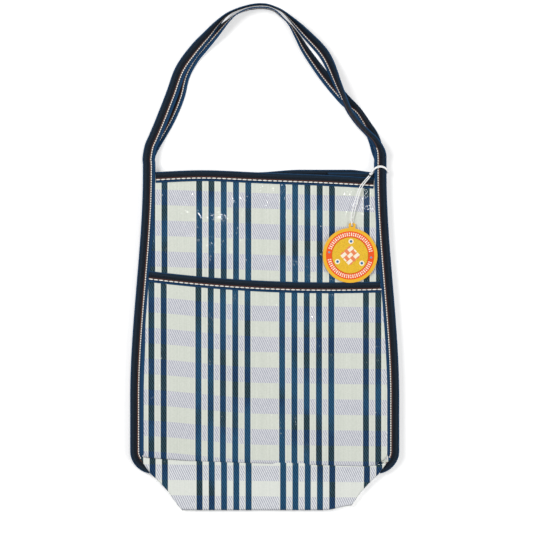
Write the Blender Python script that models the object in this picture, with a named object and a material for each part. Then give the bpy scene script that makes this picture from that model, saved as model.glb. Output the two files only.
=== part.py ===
"""Striped woven-plastic shoulder sack, folded flat and lying on its back.

+X runs across the sack, +Y from the bottom fold to the handles, +Z up from the
surface it lies on.  The back wall is the fixed piece.  Each side gusset is two
plates joined at a fold, the bottom is two plates that fold outwards, and the
front wall rises straight up when the gussets unfold.
"""
import math

import bpy
import numpy as np
from mathutils import Matrix, Vector

for obj in list(bpy.data.objects):
    bpy.data.objects.remove(obj, do_unlink=True)

# ------------------------------------------------------------ driving sizes (m)
MOUTH_W = 0.278          # outer width across the mouth
BASE_W = 0.307           # outer width at the base
WALL_H = 0.330           # crease to mouth
GUSSET_D = 0.112         # depth of the opened sack
BOTTOM_TAPER = 0.0485    # how far each end of the bottom fold stands in
POCKET_H = 0.2075        # crease to the lowest point of the pocket's hem
HANDLE_RISE = 0.192      # mouth to the top of the handles
SHEET_T = 0.0008         # woven sheet
TAPE_W = 0.014           # binding tape, outer leaf
TAPE_T = 0.0007
LEAF_W = 0.0085          # binding tape, inner leaf
HEM_W = 0.0125           # bindings of the mouth and of the pocket
STRAP_T = 0.0014         # a handle's doubled tape
ROOT_H = 0.008           # tape that stands above the mouth before a handle turns
TURN_ROOM = 0.0013       # from the tape's cut end to the line a handle turns on
CORNER_R = 0.026         # outer radius of the tape round a bottom corner
CORNER_DROP = 0.0145     # how far that corner hangs below the crease
FRONT_DIP = 0.008        # how far the front mouth falls to the right
HEM_RISE = 0.0125        # how far the pocket's hem rises to the left
TAG_R = 0.0312
TAG_T = 0.0005
TAG_HOLE_R = 0.0016
TAB_W = 0.0076
TAB_H = 0.0056           # tab above the disc
STRING_R = 0.0006
GAP = 0.0003             # between pieces that touch
FOLD_ANGLE = math.radians(2.5)   # slope of a folded gusset at rest
CORNER_ARC = math.radians(80)
ARC_STEPS = 8

# ------------------------------------------------------------ what follows from them
HALF_D = GUSSET_D / 2
BOTTOM_REACH = HALF_D * math.cos(FOLD_ANGLE)
Y_FOLD = -(BOTTOM_REACH + WALL_H + HANDLE_RISE) / 2
Y_CREASE = Y_FOLD + BOTTOM_REACH
Y_MOUTH = Y_CREASE + WALL_H
Y_PIVOT = Y_MOUTH + ROOT_H + TURN_ROOM
FOLD_CLEAR = 0.00113                    # from a tape's inner leaf to the gusset's fold line
SIDE_BOW = 0.06                         # most that the S of a side stands in from a straight side
HINGE_IN = LEAF_W + FOLD_CLEAR + SIDE_BOW * (BASE_W - MOUTH_W) / 2   # fold line, in from the outer edge
EDGE_IN = TAPE_T + GAP                  # sheet edge, in from the tape's outside

Z_BACK = TAPE_T + GAP                   # underside of the back sheet
Z_FOLD_BACK = Z_BACK + 2 * SHEET_T + 1.5 * GAP
Z_FOLD_FRONT = Z_FOLD_BACK + 2 * HALF_D * math.sin(FOLD_ANGLE)
Z_FRONT = Z_FOLD_FRONT + SHEET_T + 1.5 * GAP
Z_POCKET = Z_FRONT + SHEET_T + GAP
Z_HEM = Z_POCKET + SHEET_T + GAP        # underside of the pocket's binding
Z_TAG = Z_HEM + TAPE_T + GAP
Z_STRAP_FRONT = Z_FRONT + SHEET_T / 2   # a strap leaves its tape at mid height
Z_STRAP_BACK = Z_BACK + SHEET_T / 2
CORNER_X = BASE_W / 2 - CORNER_R
CORNER_Y = Y_CREASE - CORNER_DROP + CORNER_R
ROOT_X = MOUTH_W / 2 - TAPE_W / 2

parts = bpy.data.collections.new("striped_sack")
helpers = bpy.data.collections.new("profiles")
bpy.context.scene.collection.children.link(parts)
bpy.context.scene.collection.children.link(helpers)


# ------------------------------------------------------------ materials
def material(name, colour, roughness, metallic=0.0):
    mat = bpy.data.materials.new(name)
    mat.use_nodes = True
    bsdf = mat.node_tree.nodes["Principled BSDF"]
    bsdf.inputs["Base Color"].default_value = (*colour, 1)
    bsdf.inputs["Roughness"].default_value = roughness
    bsdf.inputs["Metallic"].default_value = metallic
    mat.diffuse_color = (*colour, 1)
    return mat


SHEET_COLOUR, TAPE_COLOUR = (0.74, 0.78, 0.74), (0.012, 0.019, 0.035)
TAG_COLOUR, STRING_COLOUR = (0.86, 0.36, 0.06), (0.80, 0.80, 0.78)


# ------------------------------------------------------------ builders
def place(name, data, colour, roughness, parent=None, at=(0, 0, 0)):
    obj = bpy.data.objects.new(name, data)
    data.materials.append(material(name, colour, roughness))
    parts.objects.link(obj)
    obj.parent = parent
    obj.location = at
    return obj


def new_curve(name, dims="3D"):
    data = bpy.data.curves.new(name, "CURVE")
    data.dimensions = dims
    return data


def add_spline(data, points, closed=False):
    line = data.splines.new("POLY")
    line.points.add(len(points) - 1)
    for point, (x, y, z) in zip(line.points, points):
        point.co = (x, y, z, 1)
    line.use_cyclic_u = closed
    return line


def plate(name, outlines, z_low, z_high, colour, roughness, parent=None):
    """A flat piece between two heights from one or more closed outlines."""
    data = new_curve(name, "2D")
    data.fill_mode = "BOTH"
    data.extrude = (z_high - z_low) / 2
    for outline in outlines:
        add_spline(data, [(x, y, 0) for x, y in outline], closed=True)
    return place(name, data, colour, roughness, parent, (0, 0, (z_low + z_high) / 2))


def swept(name, path, section, colour, roughness, parent=None):
    """A constant section along a path in the XY plane.

    A section point is (distance to the right of travel, height)."""
    area = sum(a[0] * b[1] - b[0] * a[1] for a, b in zip(section, section[1:] + section[:1]))
    if area > 0:                                  # clockwise sections face out
        section = section[::-1]
    profile_data = new_curve(name + "_section", "2D")
    add_spline(profile_data, [(x, z, 0) for x, z in section], closed=True)
    profile = bpy.data.objects.new(name + "_section", profile_data)
    profile.hide_render = True
    profile.display_type = "WIRE"
    helpers.objects.link(profile)
    data = new_curve(name)
    data.bevel_mode = "OBJECT"
    data.bevel_object = profile
    data.use_fill_caps = True
    data.twist_mode = "Z_UP"
    add_spline(data, [(x, y, 0) for x, y in path])
    return place(name, data, colour, roughness, parent)


def smooth_route(stations, count):
    """Evenly stepped Catmull-Rom samples of rows of numbers."""
    rows = np.array(stations, float)
    rows = np.vstack([2 * rows[0] - rows[1], rows, 2 * rows[-1] - rows[-2]])
    fine = []
    for a, b, c, d in zip(rows, rows[1:], rows[2:], rows[3:]):
        for t in np.linspace(0, 1, 24, endpoint=False):
            fine.append(0.5 * (2 * b + (c - a) * t + (2 * a - 5 * b + 4 * c - d) * t * t
                               + (3 * b - a - 3 * c + d) * t ** 3))
    fine = np.array(fine + [rows[-2]])
    step = np.linalg.norm(np.diff(fine[:, :3], axis=0), axis=1)
    along = np.concatenate([[0], np.cumsum(step)])
    at = np.linspace(0, along[-1], count)
    return np.array([np.interp(at, along, column) for column in fine.T]).T


def pivot(name, at, parent=None):
    empty = bpy.data.objects.new(name, None)
    empty.empty_display_size = 0.02
    parts.objects.link(empty)
    empty.parent = parent
    here = parent.matrix_world.translation if parent else Vector()
    empty.location = Vector(at) - here
    bpy.context.view_layer.update()
    return empty


def rebase(obj, parent):
    """Hang a piece made in world coordinates on a pivot without moving it."""
    bpy.context.view_layer.update()
    world = obj.matrix_world.copy()
    obj.parent = parent
    obj.matrix_parent_inverse = parent.matrix_world.inverted()
    obj.matrix_world = world
    return obj


# ------------------------------------------------------------ outline of a wall
def half_width(y):
    """Outer half width: it swells from the mouth to the base in an S."""
    t = min(max((Y_MOUTH - y) / (0.78 * WALL_H), 0), 1)
    return (MOUTH_W + (BASE_W - MOUTH_W) * t * t * (3 - 2 * t)) / 2


def inner_half(y, inset):
    """Half width at a distance inside the edge, measured square to it."""
    t = min(max((Y_MOUTH - y) / (0.78 * WALL_H), 0), 1)
    slope = (BASE_W - MOUTH_W) / 2 * 6 * t * (1 - t) / (0.78 * WALL_H)
    return half_width(y) - inset * math.hypot(1, slope)


def side_path(inset, y_top, side=1):
    """Down one side, then round its bottom corner, at a distance inside the edge."""
    ys = np.linspace(Y_MOUTH, CORNER_Y, 13)
    line = [(inner_half(y, inset), y) for y in ys]
    if y_top > Y_MOUTH:
        line.insert(0, (inner_half(y_top, inset), y_top))
    radius = CORNER_R - inset
    for a in np.linspace(0, CORNER_ARC, ARC_STEPS + 1)[1:]:
        line.append((CORNER_X + radius * math.cos(a), CORNER_Y - radius * math.sin(a)))
    return [(side * x, y) for x, y in line]


CORNER_END_X = CORNER_X + (CORNER_R - TAPE_W) * math.cos(CORNER_ARC)


def front_mouth(x):
    """The front wall's mouth line dips to the right."""
    low, span = -0.25 * MOUTH_W, 0.75 * MOUTH_W
    return Y_MOUTH - FRONT_DIP * ((x - low) / span) ** 2


def hem_line(x):
    """The pocket's hem rises to the left of its lowest point."""
    low, span = 0.25 * MOUTH_W, 0.75 * MOUTH_W
    return Y_CREASE + POCKET_H + HEM_RISE * ((x - low) / span) ** 2


def wall_outline(mouth):
    """A wall sheet, inside the fold of its tapes and of its mouth binding."""
    right = side_path(EDGE_IN, Y_MOUTH)
    right = [(x, min(y, mouth(x) - EDGE_IN)) for x, y in right]
    foot = (CORNER_END_X, Y_CREASE + GAP)
    left = [(-x, y if i else mouth(-x) - EDGE_IN) for i, (x, y) in enumerate(right)]
    top = [(x, mouth(x) - EDGE_IN) for x in np.linspace(left[0][0], right[0][0], 14)[1:-1]]
    return right + [foot, (-foot[0], foot[1])] + left[::-1] + top


# ------------------------------------------------------------ back wall
plate("back_panel", [wall_outline(lambda x: Y_MOUTH)], Z_BACK, Z_BACK + SHEET_T, SHEET_COLOUR, 0.35)


def tape_section(z_sheet, inner_up):
    """Tape folded over a sheet edge: wide outer leaf, narrow inner leaf.

    Travelling down the right side puts the sack's inside to the right."""
    low, high = z_sheet - GAP - TAPE_T, z_sheet + SHEET_T + GAP + TAPE_T
    below, above = (TAPE_W, LEAF_W) if inner_up else (LEAF_W, TAPE_W)
    return [(0, low), (below, low), (below, low + TAPE_T), (TAPE_T, low + TAPE_T),
            (TAPE_T, high - TAPE_T), (above, high - TAPE_T), (above, high), (0, high)]


def side_tape(name, z_sheet, inner_up, side):
    section = [(side * x, z) for x, z in tape_section(z_sheet, inner_up)]
    return swept(name, side_path(0, Y_MOUTH + ROOT_H, side), section, TAPE_COLOUR, 0.55)


side_tape("back_left_tape", Z_BACK, True, -1)
side_tape("back_right_tape", Z_BACK, True, 1)


def edge_binding(name, line, z_sheet, leaf_up, x_end, colour=TAPE_COLOUR):
    """Tape along a cross edge: a leaf on the sheet's outside and a turned edge."""
    low, high = z_sheet - GAP - TAPE_T, z_sheet + SHEET_T + GAP + TAPE_T
    if leaf_up:
        section = [(0, z_sheet), (0, high), (HEM_W, high), (HEM_W, high - TAPE_T),
                   (TAPE_T, high - TAPE_T), (TAPE_T, z_sheet)]
    else:
        section = [(0, z_sheet + SHEET_T), (0, low), (HEM_W, low), (HEM_W, low + TAPE_T),
                   (TAPE_T, low + TAPE_T), (TAPE_T, z_sheet + SHEET_T)]
    path = [(x, line(x)) for x in np.linspace(-x_end, x_end, 15)]
    return swept(name, path, section, colour, 0.55)


MOUTH_END = MOUTH_W / 2 - TAPE_W - GAP
edge_binding("back_top_binding", lambda x: Y_MOUTH, Z_BACK, False, MOUTH_END)

# ------------------------------------------------------------ side gussets
GUSSET_TOP = Y_MOUTH - TAPE_T
GUSSET_FOOT = Y_CREASE + 0.001
LEAF_CLEAR = CORNER_R - LEAF_W - 2 * GAP      # reach of a plate towards a corner leaf


def gusset_line(y):
    """Straight fold line where a gusset leaves the side tape."""
    t = (Y_MOUTH - y) / WALL_H
    return (MOUTH_W + (BASE_W - MOUTH_W) * t) / 2 - HINGE_IN


def gusset_pieces(side, wall):
    """One half of a gusset with the binding of its top edge, flat, then sloped."""
    name = ("left" if side < 0 else "right") + "_gusset_" + wall
    lean = math.atan2((BASE_W - MOUTH_W) / 2, WALL_H)
    across = HALF_D / math.cos(lean)
    top, low = GUSSET_TOP, GUSSET_FOOT
    brink = top - HEM_W
    cut = (CORNER_X + LEAF_CLEAR * math.cos(math.pi / 4), low)
    body = [(gusset_line(brink), brink), (gusset_line(CORNER_Y), CORNER_Y), cut,
            (gusset_line(low) - across, low), (gusset_line(brink) - across, brink)]
    band = [(gusset_line(top), top), (gusset_line(brink + GAP), brink + GAP),
            (gusset_line(brink + GAP) - across, brink + GAP), (gusset_line(top) - across, top)]
    rising = wall == "back"
    z_axis = Z_FOLD_BACK if rising else Z_FOLD_FRONT
    start = Vector((side * gusset_line(Y_CREASE), Y_CREASE, z_axis))
    end = Vector((side * gusset_line(Y_MOUTH), Y_MOUTH, z_axis))
    along = (end - start).normalized()
    slope = FOLD_ANGLE * side * (1 if rising else -1)
    turn = Matrix.Translation(start) @ Matrix.Rotation(slope, 4, along) @ Matrix.Translation(-start)
    z0, z1 = (-SHEET_T - GAP / 2, -GAP / 2) if rising else (GAP / 2, SHEET_T + GAP / 2)
    made = []
    for label, outline, colour in ((name, body, SHEET_COLOUR), (name + "_binding", band, TAPE_COLOUR)):
        piece = plate(label, [[(side * x, y) for x, y in outline]], z_axis + z0, z_axis + z1, colour, 0.4)
        bpy.context.view_layer.update()
        piece.matrix_world = turn @ piece.matrix_world
        made.append(piece)
    return made


for sign in (-1, 1):
    for wall in ("back", "front"):
        gusset_pieces(sign, wall)

# ------------------------------------------------------------ bottom
FOLD_END = BASE_W / 2 - HINGE_IN - BOTTOM_TAPER
BOTTOM_SIDE = CORNER_END_X - 2 * GAP          # stands clear of the tape's cut end


def bottom_half(name, wall):
    """Trapezoid from the crease to the bottom fold, its corners tucked in."""
    rising = wall == "back"
    hip = (BASE_W / 2 - HINGE_IN - BOTTOM_SIDE) / BOTTOM_TAPER * HALF_D
    right = [(BOTTOM_SIDE, Y_CREASE - GAP), (BOTTOM_SIDE, Y_CREASE - hip), (FOLD_END, Y_CREASE - HALF_D)]
    outline = right + [(-x, y) for x, y in reversed(right)]
    z_axis = Z_FOLD_BACK if rising else Z_FOLD_FRONT
    z0, z1 = (-SHEET_T - GAP / 2, -GAP / 2) if rising else (GAP / 2, SHEET_T + GAP / 2)
    piece = plate(name, [outline], z_axis + z0, z_axis + z1, SHEET_COLOUR, 0.35)
    bpy.context.view_layer.update()
    start = Vector((0, Y_CREASE, z_axis))
    slope = FOLD_ANGLE * (-1 if rising else 1)
    turn = Matrix.Translation(start) @ Matrix.Rotation(slope, 4, "X") @ Matrix.Translation(-start)
    piece.matrix_world = turn @ piece.matrix_world
    return piece


bottom_half("bottom_back", "back")
bottom_half("bottom_front", "front")

# ------------------------------------------------------------ front wall
plate("front_panel", [wall_outline(front_mouth)], Z_FRONT, Z_FRONT + SHEET_T, SHEET_COLOUR, 0.3)
side_tape("front_left_tape", Z_FRONT, False, -1)
side_tape("front_right_tape", Z_FRONT, False, 1)
edge_binding("front_top_binding", front_mouth, Z_FRONT, True, MOUTH_END)

POCKET_SIDE = TAPE_W + GAP                    # the pocket meets the side tapes
pocket_right = [(x, y) for x, y in side_path(POCKET_SIDE, Y_MOUTH) if y > Y_CREASE + GAP]
hem_x = inner_half(hem_line(0.45 * MOUTH_W), POCKET_SIDE)
pocket_right = [(hem_x, hem_line(hem_x) - EDGE_IN)] + [p for p in pocket_right if p[1] < hem_line(p[0]) - 0.01]
pocket_left = [(-x, y) for x, y in pocket_right[1:]]
hem_left = inner_half(hem_line(-0.45 * MOUTH_W), POCKET_SIDE)
hem_points = [(x, hem_line(x) - EDGE_IN) for x in np.linspace(-hem_left, hem_x, 14)[:-1]]


def pocket_foot():
    """The end of the pocket's foot, clear of the side tape's cut end where that stands higher."""
    foot = Y_CREASE + GAP
    square = CORNER_ARC * (1 - 0.5 / ARC_STEPS)      # the cut is square to the tape's last step
    tip = Vector((CORNER_X + CORNER_R * math.cos(CORNER_ARC), CORNER_Y - CORNER_R * math.sin(CORNER_ARC)))
    inner = tip + TAPE_W * Vector((-math.cos(square), math.sin(square)))
    if inner.y < foot:
        return [(CORNER_END_X - GAP, foot)]
    beside = inner.lerp(tip, (inner.y - foot) / (inner.y - tip.y))
    return [(inner.x - GAP, inner.y + GAP), (beside.x - GAP, foot)]


foot_right = pocket_foot()
foot_left = [(-x, y) for x, y in reversed(foot_right)]
plate("pocket_panel", [pocket_right + foot_right + foot_left + pocket_left[::-1] + hem_points],
      Z_POCKET, Z_POCKET + SHEET_T, SHEET_COLOUR, 0.3)
edge_binding("pocket_binding", hem_line, Z_POCKET, True, min(hem_x, hem_left) - GAP)


# ------------------------------------------------------------ handles
def strap(name, stations, z_root):
    """A tape handle from the left root to the right one.

    A station is (share of half the mouth, share of the rise, twist, lowest edge):
    twist 0 lies flat, +90 stands with the outer edge up, -90 with the inner one up.
    It turns on a line level with its upper face, so it folds over the tape's end."""
    half = TAPE_W / 2
    start = Y_PIVOT + GAP
    straight = start + 0.7 * TAPE_W       # it leaves its tape in line with it
    rows = [(-ROOT_X, start, z_root, 0), (-ROOT_X, straight, z_root, 0)]
    for u, v, twist, low in stations:
        angle = math.radians(twist)
        rise = half * abs(math.sin(angle)) + STRAP_T / 2 * math.cos(angle)
        rows.append((u * MOUTH_W / 2, Y_MOUTH + v * HANDLE_RISE, low + rise, angle))
    rows += [(ROOT_X, straight, z_root, 0), (ROOT_X, start, z_root, 0)]
    route = smooth_route(rows, 72)
    data = new_curve(name)
    data.extrude = half - STRAP_T / 2
    data.bevel_depth = STRAP_T / 2
    data.bevel_resolution = 0
    data.use_fill_caps = True
    data.twist_mode = "Z_UP"
    line = add_spline(data, [tuple(row[:3]) for row in route])
    for point, row in zip(line.points, route):
        point.tilt = row[3] + math.pi / 2
    obj = place(name, data, TAPE_COLOUR, 0.55)
    return rebase(obj, pivot(name + "_pivot", (0, Y_PIVOT, z_root + STRAP_T / 2)))


FRONT_ROUTE = [
    (-0.916, 0.142, 0, 0.0082), (-0.852, 0.297, 0, 0.0060), (-0.765, 0.459, 0, 0.0040),
    (-0.689, 0.609, 4, 0.0026), (-0.575, 0.726, 20, 0.0029),
    (-0.466, 0.813, 45, 0.0062), (-0.372, 0.892, 72, 0.0052), (-0.272, 0.952, 88, 0.0014),
    (-0.122, 0.990, 90, 0.0002), (0.000, 0.996, 90, 0.0002), (0.090, 0.977, 90, 0.0002),
    (0.176, 0.938, 84, 0.0024), (0.342, 0.817, 46, 0.0046), (0.500, 0.688, 32, 0.0018),
    (0.608, 0.504, 52, 0.0072), (0.693, 0.371, 58, 0.0076), (0.823, 0.237, 50, 0.0050),
    (0.920, 0.140, 30, 0.0062),
]
BACK_ROUTE = [
    (-0.925, 0.142, 0, 0.0004), (-0.793, 0.309, 0, 0.0002), (-0.711, 0.449, 0, 0.0002),
    (-0.666, 0.576, 0, 0.0002), (-0.592, 0.677, 0, 0.0002), (-0.436, 0.822, -6, 0.0002),
    (-0.360, 0.852, -50, 0.0002), (-0.299, 0.898, -72, 0.0002), (-0.223, 0.942, -84, 0.0002),
    (-0.120, 0.970, -90, 0.0002), (0.000, 0.976, -90, 0.0002), (0.079, 0.960, -90, 0.0002),
    (0.146, 0.919, -88, 0.0002), (0.212, 0.870, -76, 0.0002), (0.270, 0.806, -60, 0.0002),
    (0.342, 0.718, -45, 0.0002), (0.482, 0.579, -28, 0.0002), (0.609, 0.472, -10, 0.0002),
    (0.690, 0.424, -16, 0.0002), (0.765, 0.360, -40, 0.0002), (0.838, 0.280, -34, 0.0002),
    (0.885, 0.205, -8, 0.0002), (0.910, 0.120, 0, 0.0006),
]
strap("front_handle", FRONT_ROUTE, Z_STRAP_FRONT)
strap("back_handle", BACK_ROUTE, Z_STRAP_BACK)

# ------------------------------------------------------------ tag on its string
Z_STRING = Z_TAG + TAG_T + GAP + STRING_R
KNOT = Vector((ROOT_X - 0.0114, Y_MOUTH - 0.0025, Z_STRING))
HOLE = Vector((ROOT_X - 0.0325, Y_MOUTH - 0.0612, Z_TAG))
TAG_TILT = math.radians(-3.8)


def tag_outline():
    """A disc that carries a square tab, both on the line through the hole."""
    neck = math.asin(TAB_W / 2 / TAG_R)
    rim = [(TAG_R * math.sin(a), TAG_R * math.cos(a)) for a in np.linspace(neck, 2 * math.pi - neck, 48)]
    top = TAG_R + TAB_H
    soft = 0.0012
    return rim + [(-TAB_W / 2, top - soft), (-TAB_W / 2 + soft, top), (TAB_W / 2 - soft, top), (TAB_W / 2, top - soft)]


HOLE_UP = TAG_R + TAB_H - 0.0028
hole_ring = [(TAG_HOLE_R * math.cos(a), HOLE_UP + TAG_HOLE_R * math.sin(a))
             for a in np.linspace(0, 2 * math.pi, 16, endpoint=False)]
tag = plate("tag", [tag_outline(), hole_ring], -TAG_T / 2, TAG_T / 2, TAG_COLOUR, 0.45)
tag.rotation_euler = (0, 0, TAG_TILT)
centre = Matrix.Rotation(TAG_TILT, 3, "Z") @ Vector((0, HOLE_UP, 0))
tag.location = (HOLE.x - centre.x, HOLE.y - centre.y, Z_TAG + TAG_T / 2)


def cord(name, points, radius, closed=False, smooth=0):
    if smooth:
        points = [tuple(p) for p in smooth_route(points, smooth)]
    data = new_curve(name)
    data.bevel_depth = radius
    data.bevel_resolution = 2
    data.use_fill_caps = not closed
    add_spline(data, points, closed)
    return place(name, data, STRING_COLOUR, 0.8)


down = (Z_TAG + Z_FRONT + SHEET_T) / 2        # string height under the tag's tab
STRING_ROUTE = [
    (KNOT.x - 0.0020, KNOT.y - 0.0020, KNOT.z), (ROOT_X - 0.0240, Y_MOUTH - 0.0180, KNOT.z),
    (ROOT_X - 0.0298, Y_MOUTH - 0.0358, KNOT.z), (ROOT_X - 0.0332, Y_MOUTH - 0.0530, KNOT.z),
    (HOLE.x - 0.0004, HOLE.y + 0.0022, KNOT.z + 0.0002), (HOLE.x, HOLE.y, Z_TAG + TAG_T / 2),
    (HOLE.x + 0.0004, HOLE.y + 0.0022, down), (ROOT_X - 0.0308, Y_MOUTH - 0.0530, down + 0.0002),
    (ROOT_X - 0.0275, Y_MOUTH - 0.0355, down + 0.0010), (ROOT_X - 0.0220, Y_MOUTH - 0.0180, KNOT.z),
    (KNOT.x - 0.0004, KNOT.y - 0.0026, KNOT.z),
]
cord("tag_string", STRING_ROUTE, STRING_R, smooth=76)

# the loop goes round the right front tape above the mouth, a little askew
loop_half_x = TAPE_W / 2 + STRING_R + 2 * GAP
loop_half_z = (SHEET_T + 2 * GAP + 2 * TAPE_T) / 2 + STRING_R + GAP
loop_mid = Vector((ROOT_X, Y_MOUTH + ROOT_H / 2 - GAP, Z_FRONT + SHEET_T / 2))
loop_points = []
for a in np.linspace(0, 2 * math.pi, 40, endpoint=False):
    c, s = math.cos(a), math.sin(a)
    x = loop_half_x * math.copysign(abs(c) ** 0.35, c)
    z = loop_half_z * math.copysign(abs(s) ** 0.6, s)
    loop_points.append((loop_mid.x + x, loop_mid.y - 0.30 * x, loop_mid.z + z))
cord("string_loop", loop_points, STRING_R, closed=True)

bpy.ops.mesh.primitive_uv_sphere_add(segments=14, ring_count=8, radius=1)
knot = bpy.context.object
knot.name = "string_knot"
for owner in knot.users_collection:
    owner.objects.unlink(knot)
parts.objects.link(knot)
knot.data.materials.append(material("string_knot", STRING_COLOUR, 0.8))
knot.data.transform(Matrix.Diagonal((0.0021, 0.0015, 0.0012, 1)))
knot.location = KNOT + Vector((0.0006, 0.0005, 0.0002))
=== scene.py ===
"""Looks for the striped shoulder sack of woven plastic strip, folded flat on its back."""
import math

import bpy
import numpy as np
from mathutils import Matrix, Vector, noise


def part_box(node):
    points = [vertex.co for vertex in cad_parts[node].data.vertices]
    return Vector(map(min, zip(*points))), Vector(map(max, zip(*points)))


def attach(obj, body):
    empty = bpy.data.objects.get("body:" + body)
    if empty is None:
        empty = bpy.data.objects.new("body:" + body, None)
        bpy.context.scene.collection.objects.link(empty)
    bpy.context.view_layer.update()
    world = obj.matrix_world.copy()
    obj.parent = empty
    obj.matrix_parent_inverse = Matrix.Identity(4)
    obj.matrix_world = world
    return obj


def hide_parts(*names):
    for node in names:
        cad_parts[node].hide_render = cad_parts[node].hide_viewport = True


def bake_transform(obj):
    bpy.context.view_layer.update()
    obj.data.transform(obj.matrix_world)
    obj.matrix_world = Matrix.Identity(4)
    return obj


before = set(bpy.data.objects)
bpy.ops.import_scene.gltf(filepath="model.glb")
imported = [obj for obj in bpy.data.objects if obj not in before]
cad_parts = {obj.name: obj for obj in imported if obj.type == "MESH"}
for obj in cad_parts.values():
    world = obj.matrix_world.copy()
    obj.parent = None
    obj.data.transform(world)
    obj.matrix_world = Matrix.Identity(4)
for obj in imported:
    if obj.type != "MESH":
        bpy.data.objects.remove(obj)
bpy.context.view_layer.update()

# ------------------------------------------------------------ sizes, in metres
MM = 0.001
MOUTH_W, BASE_W, WALL_H = 0.278, 0.307, 0.330
TAPE_W, LEAF_W, HEM_W = 0.014, 0.0085, 0.0125
TAPE_T, STRAP_T, SHEET_T = 0.0007, 0.0014, 0.0008
ROOT_H = 0.008                   # tape above the mouth, where a handle begins
TURN_ROOM = 0.0013               # from there up to the line a handle turns about
CORNER_R, CORNER_ARC = 0.026, math.radians(80)
HANDLE_RISE = 0.192
HINGE_IN = 0.0105                # gusset fold, in from the outside
FOLD_END = 0.0945                # half the bottom fold
STITCH_IN = 0.0098               # stitch row, in from a tape's folded edge
STITCH_PULL = 0.00028            # how deep the stitches pull the tape down
POCKET_IN = 0.0128               # the pocket's side edges, in from the wall's
HALF_D = 0.056                   # half the depth of the open sack
STRING_R = 0.0006                # radius of the tag's string

Y_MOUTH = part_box("back_left_tape")[1].y - ROOT_H
Y_CREASE = Y_MOUTH - WALL_H
Y_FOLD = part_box("bottom_front")[0].y
Y_PIVOT = Y_MOUTH + ROOT_H + TURN_ROOM
Z_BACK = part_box("back_panel")[0].z + SHEET_T / 2       # mid height of each sheet
Z_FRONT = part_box("front_panel")[0].z + SHEET_T / 2
Z_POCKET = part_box("pocket_panel")[0].z + SHEET_T / 2
Z_TAG_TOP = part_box("tag")[1].z
Z_INNER_FOLD = (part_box("left_gusset_back")[1].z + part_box("left_gusset_front")[0].z) / 2
CORNER_X, CORNER_Y = BASE_W / 2 - CORNER_R, Y_CREASE - 0.0145 + CORNER_R
ROOT_X = MOUTH_W / 2 - TAPE_W / 2


def smooth(t):
    """0 below 0, 1 above 1, and an easy rise between them."""
    t = min(max(t, 0), 1)
    return t * t * (3 - 2 * t)


def mix(a, b, t):
    return a + (b - a) * t


# ------------------------------------------------------------ camera, lights and floor
camera = bpy.data.objects.new("camera", bpy.data.cameras.new("camera"))
bpy.context.scene.collection.objects.link(camera)
bpy.context.scene.camera = camera
camera.data.lens = 135
FIELD_W = 0.6076                 # width of what is seen at the sack
distance = FIELD_W / 2 * camera.data.lens / (camera.data.sensor_width / 2)
camera.location = (0.00205, -0.0108, 0.010 + distance)
camera.data.clip_end = 20


def soft_light(name, at, aim, size, watts):
    """A round area lamp aimed at a point."""
    lamp = bpy.data.lights.new(name, "AREA")
    lamp.shape, lamp.size, lamp.energy = "DISK", size, watts
    holder = bpy.data.objects.new(name, lamp)
    bpy.context.scene.collection.objects.link(holder)
    holder.location = at
    holder.rotation_euler = (Vector(aim) - Vector(at)).to_track_quat("-Z", "Y").to_euler()


soft_light("left_softbox", (-1.3, 0.7, 1.7), (0, 0, 0), 1.2, 30)
soft_light("right_softbox", (1.4, -0.5, 1.6), (0, 0, 0), 1.2, 16)
soft_light("film_glare", (0.19, 0.23, 1.5), (0.03, 0.03, 0), 0.10, 3.0)
world = bpy.data.worlds.new("studio")
bpy.context.scene.world = world
world.use_nodes = True
world.node_tree.nodes["Background"].inputs["Color"].default_value = (1, 1, 1, 1)
world.node_tree.nodes["Background"].inputs["Strength"].default_value = 0.22
bpy.context.scene.view_settings.view_transform = "Standard"

# ------------------------------------------------------------ materials
def colour(code):
    """An sRGB hex value as linear red, green, blue and alpha."""
    parts = [int(code[i:i + 2], 16) / 255 for i in (0, 2, 4)]
    return (*[c / 12.92 if c <= 0.04045 else ((c + 0.055) / 1.055) ** 2.4 for c in parts], 1)


def add(tree, kind, settings=None, **links):
    """A node with its settings; links and values go by input name or number (i0, i1)."""
    node = tree.nodes.new("ShaderNode" + kind)
    for key, value in (settings or {}).items():
        setattr(node, key, value)
    for key, value in links.items():
        place = int(key[1:]) if key[0] == "i" and key[1:].isdigit() else key.replace("_", " ")
        socket = node.inputs[place]
        if isinstance(value, bpy.types.NodeSocket):
            tree.links.new(value, socket)
        else:
            socket.default_value = value
    return node


def finish_of(name, base, roughness, coat=0.0, coat_roughness=0.1, ior=1.5, sheen=0.0, gloss=0.5):
    """A new material: its tree and its shader, with what is the same all over it."""
    made = bpy.data.materials.new(name)
    made.use_nodes = True
    tree = made.node_tree
    shader = tree.nodes["Principled BSDF"]
    for socket, value in (("Base Color", colour(base)), ("Roughness", roughness), ("IOR", ior),
                          ("Coat Weight", coat), ("Coat Roughness", coat_roughness),
                          ("Sheen Weight", sheen), ("Specular IOR Level", gloss)):
        shader.inputs[socket].default_value = value
    return made, tree, shader


def flat_place(tree):
    """Where a point lies on the flat cloth, across and along it, in millimetres."""
    source = add(tree, "UVMap", {"uv_map": "flat"})
    scaled = add(tree, "VectorMath", {"operation": "SCALE"}, i0=source.outputs[0], Scale=1000.0)
    parted = add(tree, "SeparateXYZ", None, i0=scaled.outputs[0])
    return parted.outputs[0], parted.outputs[1], scaled.outputs[0]


def sum_of(tree, operation, a, b=0.0, c=0.0):
    """One step of arithmetic on values or node outputs."""
    return add(tree, "Math", {"operation": operation}, i0=a, i1=b, i2=c).outputs[0]


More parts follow.
